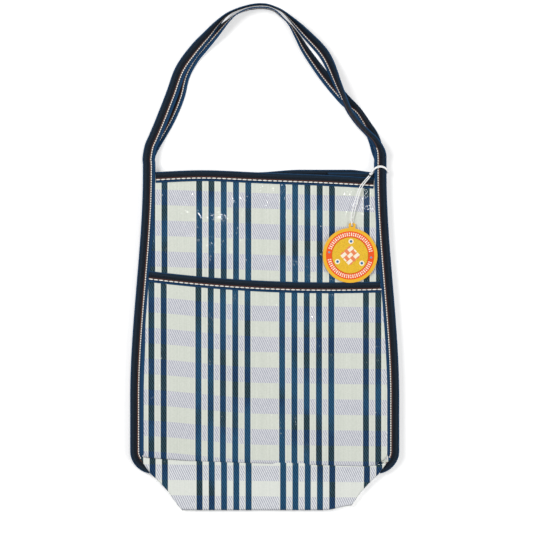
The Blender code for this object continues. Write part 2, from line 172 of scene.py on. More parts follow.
def inside(tree, value, half, soft):
    """1 where value is nearer to zero than half, falling to 0 over soft."""
    size = sum_of(tree, "ABSOLUTE", value)
    return add(tree, "MapRange", {"interpolation_type": "SMOOTHSTEP"}, i0=size, i1=half - soft,
               i2=half + soft, i3=1.0, i4=0.0).outputs[0]


def blended(tree, factor, a, b):
    """From colour a to colour b as the factor goes from 0 to 1."""
    node = add(tree, "Mix", {"data_type": "RGBA"}, i0=factor)
    for place, value in ((6, a), (7, b)):
        if isinstance(value, str):
            node.inputs[place].default_value = colour(value)
        else:
            tree.links.new(value, node.inputs[place])
    return node.outputs[2]


# the pattern's real sizes, in millimetres
STRIPE_PERIOD, STRIPE_PITCH, STRIPE_W = 95.5, 14.0, 6.9      # groups of five stripes
BAND_PERIOD, BAND_W = 35.2, 17.6                             # weft bands
STRAND, TWILL = 1.25, 2.5                                    # woven strip, and pitch of its slant


def woven_strip(name, stripe_at, band_at, lean, drawn_up=0.0,
                cream="d1d6cb", cream_lit="dfe3d9", strand_lit="e1e2e6"):
    """Laminated woven polypropylene strip: matt strips under a clear glossy film.

    The eye gets flat stripes and bands, a fine slanting twill where the bands are
    lavender, and crinkled glare from the film."""
    made, tree, shader = finish_of(name, "d6dbd2", 0.5, coat=0.6, coat_roughness=0.07, ior=1.49, gloss=0.06)
    x, y, place = flat_place(tree)
    group = sum_of(tree, "WRAP", sum_of(tree, "SUBTRACT", x, stripe_at),
                   STRIPE_PERIOD / 2, -STRIPE_PERIOD / 2)
    member = sum_of(tree, "WRAP", group, STRIPE_PITCH / 2, -STRIPE_PITCH / 2)
    stripe = sum_of(tree, "MULTIPLY", inside(tree, group, 2.5 * STRIPE_PITCH, 0.1),
                    inside(tree, member, STRIPE_W / 2, 0.22))
    # the bands run straight or lean, and may be drawn up towards the left edge
    pulled = add(tree, "MapRange", {"interpolation_type": "SMOOTHSTEP"},
                 i0=x, i1=0.0, i2=-150.0, i4=-drawn_up).outputs[0]
    slid = sum_of(tree, "ADD", sum_of(tree, "MULTIPLY_ADD", x, lean, y), pulled)
    weft = sum_of(tree, "WRAP", sum_of(tree, "SUBTRACT", slid, band_at), BAND_PERIOD / 2, -BAND_PERIOD / 2)
    band = inside(tree, weft, BAND_W / 2, 0.3)
    # twill: each strip row steps the slanting strokes along
    row = sum_of(tree, "MULTIPLY", sum_of(tree, "FLOOR", sum_of(tree, "DIVIDE", y, STRAND)), STRAND * 0.47)
    slant = sum_of(tree, "DIVIDE", sum_of(tree, "ADD", x, row), TWILL)
    stroke = sum_of(tree, "SINE", sum_of(tree, "MULTIPLY", slant, math.tau))
    strand_x = sum_of(tree, "FLOOR", sum_of(tree, "DIVIDE", x, STRAND))
    strand_y = sum_of(tree, "FLOOR", sum_of(tree, "DIVIDE", y, STRAND))
    speck = add(tree, "CombineXYZ", None, i0=strand_x, i1=strand_y)
    grain = add(tree, "TexWhiteNoise", {"noise_dimensions": "2D"}, i0=speck.outputs[0]).outputs[0]
    warp = add(tree, "TexWhiteNoise", {"noise_dimensions": "1D"}, i1=strand_x).outputs[0]
    stroke_on = add(tree, "MapRange", None, i0=sum_of(tree, "MULTIPLY_ADD", grain, 0.5, stroke),
                    i1=-0.4, i2=1.3).outputs[0]
    pale = blended(tree, sum_of(tree, "MULTIPLY", sum_of(tree, "ADD", warp, grain), 0.5), cream, cream_lit)
    lavender = blended(tree, stroke_on, strand_lit, "a0a3b2")
    ground = blended(tree, band, pale, lavender)
    # beside each stripe the strip is painted lighter: a painted highlight along the stripe's edge
    beside = sum_of(tree, "SUBTRACT", inside(tree, member, STRIPE_W / 2 + 1.2, 0.3),
                    inside(tree, member, STRIPE_W / 2, 0.22))
    stripe_edge_highlight = sum_of(tree, "MULTIPLY", sum_of(tree, "MULTIPLY", beside, 0.55),
                 inside(tree, group, 2.5 * STRIPE_PITCH + 1, 0.1))
    ground = blended(tree, stripe_edge_highlight, ground, "e9ece4")
    # stripes are teal on cream and navy on lavender; a painted sheen makes them bluer in patches and in the
    # middle
    sheen_patches = add(tree, "TexNoise", None, Vector=place, Scale=0.016, Detail=1.0).outputs[0]
    middle = sum_of(tree, "MULTIPLY_ADD", inside(tree, sum_of(tree, "ADD", x, 6.0), 62.0, 38.0), 0.16, sheen_patches)
    teal = blended(tree, stroke_on, "2e4e5b", "04090d")
    navy = blended(tree, stroke_on, "1f4973", "041024")
    dark = blended(tree, band, teal, navy)
    blue = blended(tree, stroke_on, "285f84", "0a2b46")
    painted_sheen = add(tree, "MapRange", None, i0=middle, i1=0.50, i2=0.66, i4=0.85).outputs[0]
    tree.links.new(blended(tree, stripe, ground, blended(tree, painted_sheen, dark, blue)), shader.inputs["Base Color"])
    # strips lie over and under each other, and the film over them is crinkled
    over = sum_of(tree, "SINE", sum_of(tree, "MULTIPLY", x, math.tau / (2 * STRAND)))
    under = sum_of(tree, "SINE", sum_of(tree, "MULTIPLY", y, math.tau / (2 * STRAND)))
    weave = add(tree, "Bump", None, Strength=0.25, Distance=0.00012,
                Height=sum_of(tree, "MULTIPLY", over, under))
    tree.links.new(weave.outputs[0], shader.inputs["Normal"])
    wide = add(tree, "TexNoise", None, Vector=place, Scale=0.055, Detail=3.0,
               Roughness=0.6, Distortion=0.9).outputs[0]
    patch = add(tree, "TexNoise", None, Vector=place, Scale=0.02, Detail=1.0).outputs[0]
    crinkled = add(tree, "MapRange", None, i0=patch, i1=0.42, i2=0.58).outputs[0]
    ridge = sum_of(tree, "MULTIPLY", inside(tree, sum_of(tree, "SUBTRACT", wide, 0.5), 0.035, 0.035),
                   crinkled)
    film = add(tree, "Bump", None, Strength=1.0, Distance=0.00012, Height=ridge)
    tree.links.new(film.outputs[0], shader.inputs["Coat Normal"])
    return made


def binding_tape(name, width):
    """Woven polyester binding: matt, ribbed, near black with navy selvedges."""
    made, tree, shader = finish_of(name, "161d29", 0.72, gloss=0.15)
    across, along, place = flat_place(tree)
    ramp = add(tree, "ValToRGB", None, i0=sum_of(tree, "DIVIDE", across, width))
    # the brown line just outwards of the stitch row (0.60 to 0.66 across) is painted shadow beside the
    # stitches
    stops = [(0, "1d466b"), (0.07, "113657"), (0.11, "101a25"), (0.27, "18232f"), (0.34, "0d0f14"),
             (0.56, "0d0b0e"), (0.60, "5c3320"), (0.645, "6e4830"), (0.66, "0d131d"), (0.76, "0d2c4a"),
             (1, "15426a")]
    while len(ramp.color_ramp.elements) < len(stops):
        ramp.color_ramp.elements.new(0.5)
    for element, (at, code) in zip(ramp.color_ramp.elements, stops):
        element.position, element.color = at, colour(code)
    ribs = sum_of(tree, "SINE", sum_of(tree, "MULTIPLY", along, math.tau / 1.1))
    lines = sum_of(tree, "SINE", sum_of(tree, "MULTIPLY", across, math.tau / 1.5))
    fleck = add(tree, "TexNoise", None, Vector=place, Scale=1.4, Detail=2.0).outputs[0]
    # lighter blue along the ribs and thread lines is painted highlight, broken up by a random fleck
    worn = sum_of(tree, "MULTIPLY_ADD", lines, 0.10, sum_of(tree, "MULTIPLY_ADD", ribs, 0.06, fleck))
    rib_highlight = add(tree, "MapRange", None, i0=worn, i1=0.45, i2=0.75, i4=0.36).outputs[0]
    tree.links.new(blended(tree, rib_highlight, ramp.outputs[0], "34506b"), shader.inputs["Base Color"])
    bump = add(tree, "Bump", None, Strength=0.5, Distance=0.0002,
               Height=sum_of(tree, "MULTIPLY_ADD", lines, 0.6, ribs))
    tree.links.new(bump.outputs[0], shader.inputs["Normal"])
    return made


def thread(name, code, shade, worn_most):
    """Spun polyester sewing thread or cotton twine: matt and pale, with a fine twist."""
    made, tree, shader = finish_of(name, code, 0.75, sheen=0.3)
    spot = add(tree, "TexCoord")
    hair = add(tree, "TexNoise", None, Vector=spot.outputs["Object"], Scale=900.0, Detail=2.0).outputs[0]
    worn = add(tree, "MapRange", None, i0=hair, i1=0.45, i2=0.75, i4=worn_most).outputs[0]
    tree.links.new(blended(tree, worn, code, shade), shader.inputs["Base Color"])
    return made


FRONT_WEAVE = woven_strip("front_woven_strip", -46.75, 28.9, 0.034)
POCKET_WEAVE = woven_strip("pocket_woven_strip", -47.6, -99.7, 0.012, 9.0)
# the bottom's copy has paler cream and lavender: painted light, as the bottom catches more glare
BOTTOM_WEAVE = woven_strip("bottom_woven_strip", -46.4, -246.8, 0.012,
                           cream="e1e5de", cream_lit="ebeee7", strand_lit="eff1f4")
BACK_WEAVE = woven_strip("back_woven_strip", -44.0, 20.0, 0.0)
GUSSET_WEAVE = woven_strip("gusset_woven_strip", 0.0, 12.0, 0.0)
TAPE = binding_tape("woven_binding_tape", TAPE_W / MM)
HEM_TAPE = binding_tape("woven_hem_tape", HEM_W / MM)
THREAD = thread("sewing_thread", "fffaf2", "c9beb0", 0.5)
TWINE = thread("cotton_twine", "ffffff", "e4e1da", 0.5)


def coated_card(name, code, speck, amount):
    """Offset print on coated card: flat ink under a satin coat, with a fine mottle."""
    made, tree, shader = finish_of(name, code, 0.6, coat=0.08, coat_roughness=0.3, gloss=0.12)
    spot = add(tree, "TexCoord")
    mottle = add(tree, "TexNoise", None, Vector=spot.outputs["Object"], Scale=1500.0, Detail=1.0).outputs[0]
    patch = add(tree, "MapRange", None, i0=mottle, i1=0.50, i2=0.68, i4=amount).outputs[0]
    tree.links.new(blended(tree, patch, code, speck), shader.inputs["Base Color"])
    return made


CARD = coated_card("coated_card", "f3b92e", "dfa428", 0.6)
INKS = {label: coated_card(label + "_ink", code, speck, amount) for label, code, speck, amount in (
    ("grained_amber", "efc131", "c6952c", 0.75), ("orange_red", "f3581e", "de4a16", 0.4),
    ("cream", "fdf2dc", "e9d6b4", 0.5), ("salmon", "f08a5c", "e2754a", 0.4),
    ("grey_blue", "7fa6b8", "6c93a6", 0.4), ("deep_blue", "2f6f9c", "255f8a", 0.4))}

floor_white, _, floor_shader = finish_of("studio_floor", "f4f4f4", 0.9, gloss=0.1)
floor_shader.inputs["Emission Color"].default_value = (1, 1, 1, 1)
floor_shader.inputs["Emission Strength"].default_value = 0.30    # a lit table, so shadows stay pale
bpy.ops.mesh.primitive_plane_add(size=16, location=(0, 0, 0))
floor = bpy.context.object
floor.name = "floor"
floor.data.materials.append(floor_white)


# ------------------------------------------------------------ outline of the walls
def half_width(y):
    """Outer half width of a wall: it swells from the mouth to the base."""
    t = smooth((Y_MOUTH - y) / (0.78 * WALL_H))
    return (MOUTH_W + (BASE_W - MOUTH_W) * t) / 2


def front_mouth(x):
    """The front mouth's edge rises a little on the left and falls to the right."""
    rise = 0.0021 * math.exp(-((x + 0.070) / 0.048) ** 2)
    return Y_MOUTH + rise - 0.0076 * ((x + 0.25 * MOUTH_W) / (0.75 * MOUTH_W)) ** 2


def hem_line(x):
    """The pocket's edge is lowest right of the middle and rises to the left."""
    return Y_CREASE + 0.2042 + 0.0129 * ((x - 0.075) / 0.206) ** 2


def front_crease(x):
    """The fold under the front wall falls to the right, and turns up at its end."""
    fall = np.interp(x, (-0.1425, -0.116, -0.083, 0.0, 0.080, 0.111, 0.141),
                     (0.0056, 0.0035, 0.0011, -0.0018, -0.0041, -0.0051, -0.0030))
    return Y_CREASE + float(fall)


def give(x, y):
    """How the front wall lies: it sinks between the gussets and buckles slowly."""
    across = max(0, 1 - (x / 0.100) ** 2) ** 1.5
    sag = -0.0032 * across * smooth((y - Y_CREASE + 0.004) / 0.07)
    loose = smooth((half_width(y) - TAPE_W - abs(x)) / 0.02) * smooth((y - Y_CREASE) / 0.015)
    tag_side = 1 - smooth((0.045 - math.hypot(x - 0.097, y - 0.002)) / 0.01)
    buckle = (0.00042 * noise.noise(Vector((x * 17, y * 9, 3.1)))
              + 0.0002 * noise.noise(Vector((x * 52, y * 36, 8.2))))
    return sag + buckle * loose * tag_side


# ------------------------------------------------------------ builders
def mesh_piece(name, points, faces, flat, material):
    """A piece from its points, faces and each point's place on the flat cloth."""
    data = bpy.data.meshes.new(name)
    data.from_pydata([tuple(p) for p in points], [], faces)
    layer = data.uv_layers.new(name="flat")
    corners = np.zeros(len(data.loops), int)
    data.loops.foreach_get("vertex_index", corners)
    layer.data.foreach_set("uv", np.array(flat, float)[corners].ravel())
    data.materials.append(material)
    data.shade_smooth()
    piece = bpy.data.objects.new(name, data)
    bpy.context.scene.collection.objects.link(piece)
    return piece


def alone(piece):
    bpy.ops.object.select_all(action="DESELECT")
    piece.select_set(True)
    bpy.context.view_layer.objects.active = piece


def with_modifier(piece, kind, **settings):
    alone(piece)
    modifier = piece.modifiers.new(kind.lower(), kind)
    for key, value in settings.items():
        setattr(modifier, key, value)
    bpy.ops.object.modifier_apply(modifier=modifier.name)
    return piece


def cloth(name, columns, rows, where, material, thick=0.8):
    """A woven sheet. where(u, v) gives a crossing's place and its place on the flat cloth."""
    points, flat = [], []
    for j in range(rows + 1):
        for i in range(columns + 1):
            p, f = where(i / columns, j / rows)
            points.append(p)
            flat.append(f)
    wide = columns + 1
    faces = [(j * wide + i, j * wide + i + 1, (j + 1) * wide + i + 1, (j + 1) * wide + i)
             for j in range(rows) for i in range(columns)]
    piece = mesh_piece(name, points, faces, flat, material)
    return with_modifier(piece, "SOLIDIFY", thickness=SHEET_T * thick, offset=0)


def tape_section(gap, top_leaf, low_leaf):
    """Outline of a folded tape, from the fold inwards: (distance from the fold, height).

    A groove on each face is where the stitches pull the tape down."""
    high, slit = gap / 2 + TAPE_T, gap / 2

    def face(leaf):
        pull = STITCH_PULL if leaf > STITCH_IN + 0.001 else 0
        return [(leaf, high - 0.0004), (leaf - 0.0005, high - 0.00008), (leaf - 0.0018, high),
                (mix(leaf, STITCH_IN, 0.62), high - 0.3 * pull), (min(STITCH_IN, leaf * 0.80), high - pull),
                (min(STITCH_IN, leaf * 0.80) - 0.0012, high), (leaf * 0.42, high + 0.00016),
                (0.0022, high + 0.00005), (0.0009, high * 0.86), (0.0002, high * 0.48)]

    top, low = face(top_leaf), face(low_leaf)
    return (top + [(0, 0)] + [(s, -h) for s, h in reversed(low)]
            + [(low_leaf, -slit), (0.0018, -slit), (0.0010, 0), (0.0018, slit), (top_leaf, slit)])


def tape_run(name, frames, material):
    """A tape swept along frames: (folded edge, across, upwards, gap, top leaf, low leaf)."""
    points, flat, along = [], [], 0.0
    for index, (edge, across, up, gap, top, low) in enumerate(frames):
        if index:
            along += (edge + across * TAPE_W / 2 - before).length
        before = edge + across * TAPE_W / 2
        section = tape_section(gap, top, low)
        points += [edge + across * s + up * h for s, h in section]
        flat += [(s, along) for s, h in section]
    n = len(section)
    faces = [(k * n + i, k * n + (i + 1) % n, (k + 1) * n + (i + 1) % n, (k + 1) * n + i)
             for k in range(len(frames) - 1) for i in range(n)]
    last = (len(frames) - 1) * n
    faces += [tuple(range(n))[::-1], tuple(range(last, last + n))]
    piece = mesh_piece(name, points, faces, flat, material)
    alone(piece)
    bpy.ops.object.mode_set(mode="EDIT")
    bpy.ops.mesh.select_all(action="SELECT")
    bpy.ops.mesh.normals_make_consistent(inside=False)
    bpy.ops.object.mode_set(mode="OBJECT")
    return piece


def resample(rows, count):
    """Evenly stepped Catmull-Rom samples of rows of numbers."""
    rows = np.array(rows, float)
    rows = np.vstack([2 * rows[0] - rows[1], rows, 2 * rows[-1] - rows[-2]])
    fine = []
    for a, b, c, d in zip(rows, rows[1:], rows[2:], rows[3:]):
        for t in np.linspace(0, 1, 24, endpoint=False):
            fine.append(0.5 * (2 * b + (c - a) * t + (2 * a - 5 * b + 4 * c - d) * t * t
                               + (3 * b - a - 3 * c + d) * t ** 3))
    fine = np.array(fine + [rows[-2]])
    step = np.linalg.norm(np.diff(fine[:, :3], axis=0), axis=1)
    along = np.concatenate([[0], np.cumsum(step)])
    at = np.linspace(0, along[-1], count)
    return np.array([np.interp(at, along, column) for column in fine.T]).T


def wall_edge(side):
    """Outer edge of one side, from the end round the bottom corner up to the root."""
    arc = [(CORNER_X + CORNER_R * math.cos(a), CORNER_Y - CORNER_R * math.sin(a))
           for a in np.linspace(CORNER_ARC, 0, 12)]
    rise = [(half_width(y), y) for y in np.linspace(CORNER_Y, Y_MOUTH + ROOT_H - 0.0005, 70)[1:]]
    return [(side * x, y) for x, y in arc + rise]


def corner_dive(y):
    """How far the front's edge sinks where it goes under the bottom at the corners."""
    return 0.0034 * smooth((CORNER_Y - 0.003 - y) / 0.017)


def side_and_handle(name, stations, z_mid, wide_up):
    """One tape: up the left side, over as the handle, and down the right side."""
    z_up = Vector((0, 0, 1))
    frames = []

    def side_frames(side):
        edge = [Vector((x, y, z_mid)) for x, y in wall_edge(side)]
        made = []
        for i, point in enumerate(edge):
            travel = edge[min(i + 1, len(edge) - 1)] - edge[max(i - 1, 0)]
            across = Vector((travel.y, -travel.x, 0)).normalized() * -side
            dive = corner_dive(point.y) if wide_up else 0
            point = point - z_up * dive
            root = smooth((point.y - (Y_MOUTH - 0.003)) / (ROOT_H + 0.002))
            gap = mix(SHEET_T + 0.0006, 0.0001, root)
            narrow = mix(LEAF_W, TAPE_W, root)
            wider = 0.0017 * smooth((-0.06 - point.y) / 0.06) if side < 0 else 0
            leaves = (TAPE_W + wider, narrow) if wide_up else (narrow, TAPE_W)
            made.append((point, across, z_up, gap, *leaves))
        return made

    frames += side_frames(-1)
    start = Y_PIVOT + 0.0003
    rows = [(-ROOT_X, start, z_mid, 0), (-ROOT_X - 0.0004, start + 0.45 * TAPE_W, z_mid, 0)]
    for u, v, twist, low in stations:
        angle = math.radians(twist)
        rise = TAPE_W / 2 * abs(math.sin(angle)) + STRAP_T / 2 * math.cos(angle)
        rows.append((u * MOUTH_W / 2, Y_MOUTH + v * HANDLE_RISE, low + rise, angle))
    rows += [(ROOT_X, start + 0.45 * TAPE_W, z_mid, 0), (ROOT_X, start, z_mid, 0)]
    route = resample(rows, 300)
    for i, (x, y, z, angle) in enumerate(route):
        travel = Vector(route[min(i + 1, len(route) - 1)][:3]) - Vector(route[max(i - 1, 0)][:3])
        inward = Vector((travel.y, -travel.x, 0)).normalized()
        side_up = inward.cross(travel).normalized()
        if side_up.z < 0:
            side_up = -side_up
        across = inward * math.cos(angle) - side_up * math.sin(angle)
        up = inward * math.sin(angle) + side_up * math.cos(angle)
        frames.append((Vector((x, y, z)) - across * TAPE_W / 2, across, up, 0.0001, TAPE_W, TAPE_W))
    frames += side_frames(1)[::-1]
    return tape_run(name, frames, TAPE), frames


def stitch_shape():
    """One stitch: a short thread with rounded ends, its length along X."""
    bpy.ops.mesh.primitive_cylinder_add(vertices=6, radius=0.5, depth=1, rotation=(0, math.pi / 2, 0))
    shape = bpy.context.object
    bpy.ops.object.transform_apply(location=True, rotation=True, scale=True)
    bpy.ops.object.mode_set(mode="EDIT")
    bpy.ops.mesh.select_mode(type="EDGE")
    bpy.ops.mesh.select_all(action="SELECT")
    bpy.ops.mesh.edges_select_sharp(sharpness=math.radians(80))
    bpy.ops.mesh.bevel(offset=0.26, segments=1)
    bpy.ops.object.mode_set(mode="OBJECT")
    bpy.ops.object.shade_smooth()
    return shape


STITCH = stitch_shape()


def stitch_row(name, line, pitch, length, width, height):
    """Stitches along (place, along, up) marks: copies of one stitch, joined."""
    gone, due, copies = 0.0, pitch / 2, []
    for (a, _, _), (b, travel, up) in zip(line, line[1:]):
        step = (b - a).length
        if step > 0.02:             # the row sinks into a fold of the tape
            due += step
        while 0 < step <= 0.02 and due <= gone + step:
            at = a.lerp(b, (due - gone) / step)
            turn = Matrix((travel, up.cross(travel), up)).transposed().to_4x4()
            piece = STITCH.copy()
            piece.data = STITCH.data.copy()
            piece.matrix_world = Matrix.Translation(at) @ turn @ Matrix.Diagonal((length, width, height, 1))
            bpy.context.scene.collection.objects.link(piece)
            copies.append(piece)
            due += pitch
        gone += step
    bpy.ops.object.select_all(action="DESELECT")
    for piece in copies:
        piece.select_set(True)
    bpy.context.view_layer.objects.active = copies[0]
    bpy.ops.object.join()
    row = bpy.context.object
    row.name = row.data.name = name
    bpy.ops.object.transform_apply(location=True, rotation=True, scale=True)
    row.data.materials.clear()
    row.data.materials.append(THREAD)
    return row


def marks(frames, lift, side=1, s=STITCH_IN):
    """Where a stitch row runs on a tape's upper (side 1) or lower (-1) face."""
    made = []
    for i, (edge, across, up, gap, top, low) in enumerate(frames):
        before, after = frames[max(i - 1, 0)], frames[min(i + 1, len(frames) - 1)]
        travel = ((after[0] + after[1] * s) - (before[0] + before[1] * s)).normalized()
        level = gap / 2 + TAPE_T - STITCH_PULL + lift
        normal = (up * side - travel * travel.dot(up * side)).normalized()
        made.append((edge + across * s + up * side * level, travel, normal))
    return made


# ------------------------------------------------------------ tag string and its knot
TAG_HOLE = Vector((ROOT_X - 0.0325, Y_MOUTH - 0.0612, Z_TAG_TOP))
Z_STRING = Z_TAG_TOP + 0.0009
Z_UNDER = (Z_TAG_TOP - 0.0005 + Z_FRONT + SHEET_T / 2) / 2
KNOT = Vector((ROOT_X - 0.0114, Y_MOUTH - 0.0025, Z_STRING))
STRING_ROUTE = [
    (KNOT.x - 0.0020, KNOT.y - 0.0020, KNOT.z), (ROOT_X - 0.0240, Y_MOUTH - 0.0180, KNOT.z),
    (ROOT_X - 0.0300, Y_MOUTH - 0.0358, KNOT.z), (ROOT_X - 0.0335, Y_MOUTH - 0.0520, KNOT.z + 0.0001),
    (TAG_HOLE.x - 0.0007, TAG_HOLE.y + 0.0036, KNOT.z + 0.0003),
    (TAG_HOLE.x - 0.0002, TAG_HOLE.y + 0.0008, KNOT.z + 0.0001),
    (TAG_HOLE.x, TAG_HOLE.y - 0.0004, Z_TAG_TOP - 0.00025),
    (TAG_HOLE.x + 0.0002, TAG_HOLE.y + 0.0008, Z_UNDER - 0.0004),
    (TAG_HOLE.x + 0.0006, TAG_HOLE.y + 0.0040, Z_UNDER),
    (ROOT_X - 0.0308, Y_MOUTH - 0.0520, Z_UNDER + 0.0004),
    (ROOT_X - 0.0272, Y_MOUTH - 0.0355, Z_UNDER + 0.0016), (ROOT_X - 0.0214, Y_MOUTH - 0.0180, KNOT.z),
    (KNOT.x - 0.0004, KNOT.y - 0.0026, KNOT.z),
]


LOBE_TURN = math.tau / 3 * 0.42 / MM      # the lay of the three plies, in radians a metre


def twine(name, route, sides=12):
    """A three-ply string as a tube whose lobes wind along it."""
    route = np.array(route, float)
    count = len(route)
    points, flat, along = [], [], 0.0
    up = Vector((0, 0, 1))
    for i, row in enumerate(route):
        before, after = route[max(i - 1, 0)], route[min(i + 1, count - 1)]
        travel = (Vector(after) - Vector(before)).normalized()
        if i:
            along += float(np.linalg.norm(row - route[i - 1]))
        up = (up - travel * up.dot(travel)).normalized()
        out = travel.cross(up)
        for k in range(sides):
            a = math.tau * k / sides
            lobe = STRING_R * (0.96 + 0.11 * math.cos(3 * (a - along * LOBE_TURN)))
            points.append(Vector(row) + out * math.cos(a) * lobe + up * math.sin(a) * lobe)
            flat.append((a * STRING_R, along))
    faces = [(i * sides + k, i * sides + (k + 1) % sides, (i + 1) * sides + (k + 1) % sides,
              (i + 1) * sides + k) for i in range(count - 1) for k in range(sides)]
    faces += [tuple(range(sides))[::-1], tuple(range((count - 1) * sides, count * sides))]
    piece = mesh_piece(name, points, faces, flat, TWINE)
    alone(piece)
    bpy.ops.object.mode_set(mode="EDIT")
    bpy.ops.mesh.select_all(action="SELECT")
    bpy.ops.mesh.normals_make_consistent(inside=False)
    bpy.ops.object.mode_set(mode="OBJECT")
    return piece


string_line = resample(STRING_ROUTE, 300)[:, :3]
tag_string = twine("twisted_tag_string", string_line)
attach(tag_string, "tag_on_string")
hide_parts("tag_string")

# the string's loop goes twice round the right front tape, from its knot
LOOP_X, LOOP_Z = TAPE_W / 2 + 0.0010, SHEET_T / 2 + 0.0019
loop_over = [(-0.0106, -0.0012, 0.85), (-0.0082, 0.0022, 1.15), (-0.0055, 0.0045, 1.1),
             (-0.0022, 0.0058, 1), (0.0012, 0.0060, 1), (0.0044, 0.0049, 1), (0.0068, 0.0028, 1),
             (LOOP_X, 0.0008, 0.5), (LOOP_X + 0.0002, -0.0002, -0.3), (0.0068, 0.0004, -1),
             (0.0030, 0.0016, -1), (-0.0030, 0.0022, -1), (-0.0068, 0.0014, -1),
             (-0.0084, 0.0002, -0.5), (-0.0098, -0.0014, 0.5)]
loop_rings = []
for ring, (up, aside) in enumerate(((0.00062, 0.0), (-0.00062, 0.0002))):
    route = [(ROOT_X + x + aside * x / LOOP_X,
              Y_MOUTH + y + up * (0.4 if i in (0, len(loop_over) - 1) else 1),
              Z_FRONT + LOOP_Z * z) for i, (x, y, z) in enumerate(loop_over)]
    loop_rings.append(twine("string_loop_ring_" + str(ring), resample(route, 110)[:, :3], sides=10))
alone(loop_rings[0])
loop_rings[1].select_set(True)
bpy.ops.object.join()
string_round_tape = bpy.context.object
string_round_tape.name = string_round_tape.data.name = "string_round_tape"
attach(string_round_tape, "front_wall")
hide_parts("string_loop")

# the knot: turns of the string wound on its own strands
KNOT_MID = KNOT + Vector((0.0004, 0.0004, 0.0003))
knot_axis = Vector((0.80, 0.60, 0.0)).normalized()
knot_side = knot_axis.cross(Vector((0, 0, 1)))
wound = []
for t in np.linspace(0, 1, 110):
    a, out = math.tau * 3.1 * t, 0.00115 - 0.0007 * smooth(abs(2 * t - 1) * 4 - 3)
    along = (t - 0.5) * 0.0040 + 0.0004 * math.sin(a * 0.5)
    round_it = knot_side * math.cos(a) + Vector((0, 0, 1)) * math.sin(a) * 0.8
    wound.append(KNOT_MID + knot_axis * along + round_it * out)
wound_knot = twine("wound_string_knot", wound, sides=10)
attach(wound_knot, "front_wall")
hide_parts("string_knot")

# ------------------------------------------------------------ what is printed on the tag
TAG_TILT = math.radians(-3.8)
HOLE_UP = 0.034                  # from the tag's middle to its hole
tag_turn = (Matrix.Translation(TAG_HOLE) @ Matrix.Rotation(TAG_TILT, 4, "Z")
            @ Matrix.Translation((0, -HOLE_UP, 0)))
INK_T = 0.00005


def ink_up(layer=0):
    """In edit mode, raise the whole flat shape to a layer of ink."""
    bpy.ops.mesh.select_all(action="SELECT")
    bpy.ops.mesh.extrude_region_move(TRANSFORM_OT_translate={"value": (0, 0, INK_T * (layer + 1))})
    bpy.ops.mesh.select_all(action="SELECT")
    bpy.ops.mesh.normals_make_consistent(inside=False)
    bpy.ops.object.mode_set(mode="OBJECT")


def printed(name, pieces, ink):
    """Join shapes drawn round the tag's middle and put them in their place on it."""
    bpy.ops.object.select_all(action="DESELECT")
    for piece in pieces:
        piece.select_set(True)
        piece.data.materials.append(INKS[ink])
    bpy.context.view_layer.objects.active = pieces[0]
    bpy.ops.object.transform_apply(location=True, rotation=True, scale=True)
    if len(pieces) > 1:
        bpy.ops.object.join()
    piece = bpy.context.object
    piece.name = piece.data.name = name
    piece.matrix_world = tag_turn
    bpy.ops.object.transform_apply(location=True, rotation=True, scale=True)
    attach(piece, "tag_on_string")
    return piece


def round_patch(radius, hole=0.0, at=(0, 0), layer=0, corners=96):
    """A disc, or a ring where it has a hole."""
    bpy.ops.object.select_all(action="DESELECT")
    bpy.ops.mesh.primitive_circle_add(vertices=corners, radius=radius, fill_type="NGON")
    bpy.ops.object.mode_set(mode="EDIT")
    if hole:
        bpy.ops.mesh.select_mode(type="FACE")
        bpy.ops.mesh.select_all(action="SELECT")
        bpy.ops.mesh.inset(thickness=radius - hole)
        bpy.ops.mesh.delete(type="FACE")
    ink_up(layer)
    bpy.context.object.location = (*at, 0)
    return bpy.context.object


def strip_patch(wide, tall, at, turn=0.0, layer=0):
    """A flat strip of ink."""
    bpy.ops.object.select_all(action="DESELECT")
    bpy.ops.mesh.primitive_plane_add(size=1)
    bpy.ops.object.mode_set(mode="EDIT")
    bpy.ops.mesh.select_all(action="SELECT")
    bpy.ops.transform.resize(value=(wide, tall, 1))
    ink_up(layer)
    piece = bpy.context.object
    piece.location, piece.rotation_euler = (*at, 0), (0, 0, turn)
    return piece


printed("tag_printed_field", [round_patch(0.0207)], "grained_amber")
printed("tag_printed_ring", [round_patch(0.0275, 0.0205)], "orange_red")
# a plain border: one long bar, then two short ones
BORDER_R = 0.0240
bars = []
for middle in (math.pi / 2, -math.pi / 2):
    for step, a in enumerate(np.linspace(-1.30, 1.30, 27)):
        turn = middle + a
        for r, tall in ((BORDER_R, 0.0040),) if step % 2 else ((0.0228, 0.0017), (0.0252, 0.0017)):
            at = (r * math.cos(turn), r * math.sin(turn))
            bars.append(strip_patch(0.0012, tall, at, turn - math.pi / 2, layer=1))
printed("tag_printed_border", bars, "cream")
printed("tag_printed_dots",
        [round_patch(0.0012, at=(side * BORDER_R, 0.0006 - side * 0.0014), layer=1, corners=20)
         for side in (-1, 1)], "grey_blue")
# a patch of plain weave set on its corner: cream strands over and under salmon ones
STRAND_STEP, STRAND_WIDE, STRAND_LONG = 0.0050, 0.0039, 0.0172
CORNERWISE = math.pi / 4


def woven_patch(name, cells, size, turn, layer, ink):
    """Strands at whole steps (i, j) from the tag's middle, on axes turned by an eighth."""
    slide = STRAND_STEP * math.cos(CORNERWISE)
    printed(name, [strip_patch(*size, (slide * (i - j), slide * (i + j)), turn, layer=layer)
                   for i, j in cells], ink)


THREE = (-1, 0, 1)
for label, cells, tall, turn, layer, ink in (
        ("salmon_strands", [(i, 0) for i in THREE], STRAND_LONG, CORNERWISE, 1, "salmon"),
        ("cream_strands", [(0, j) for j in THREE], STRAND_LONG, -CORNERWISE, 2, "cream"),
        ("salmon_crossings", [(i, j) for i in THREE for j in THREE if (i + j) % 2], STRAND_STEP, CORNERWISE,
         3, "salmon")):
    woven_patch("tag_printed_" + label, cells, (STRAND_WIDE, tall), turn, layer, ink)
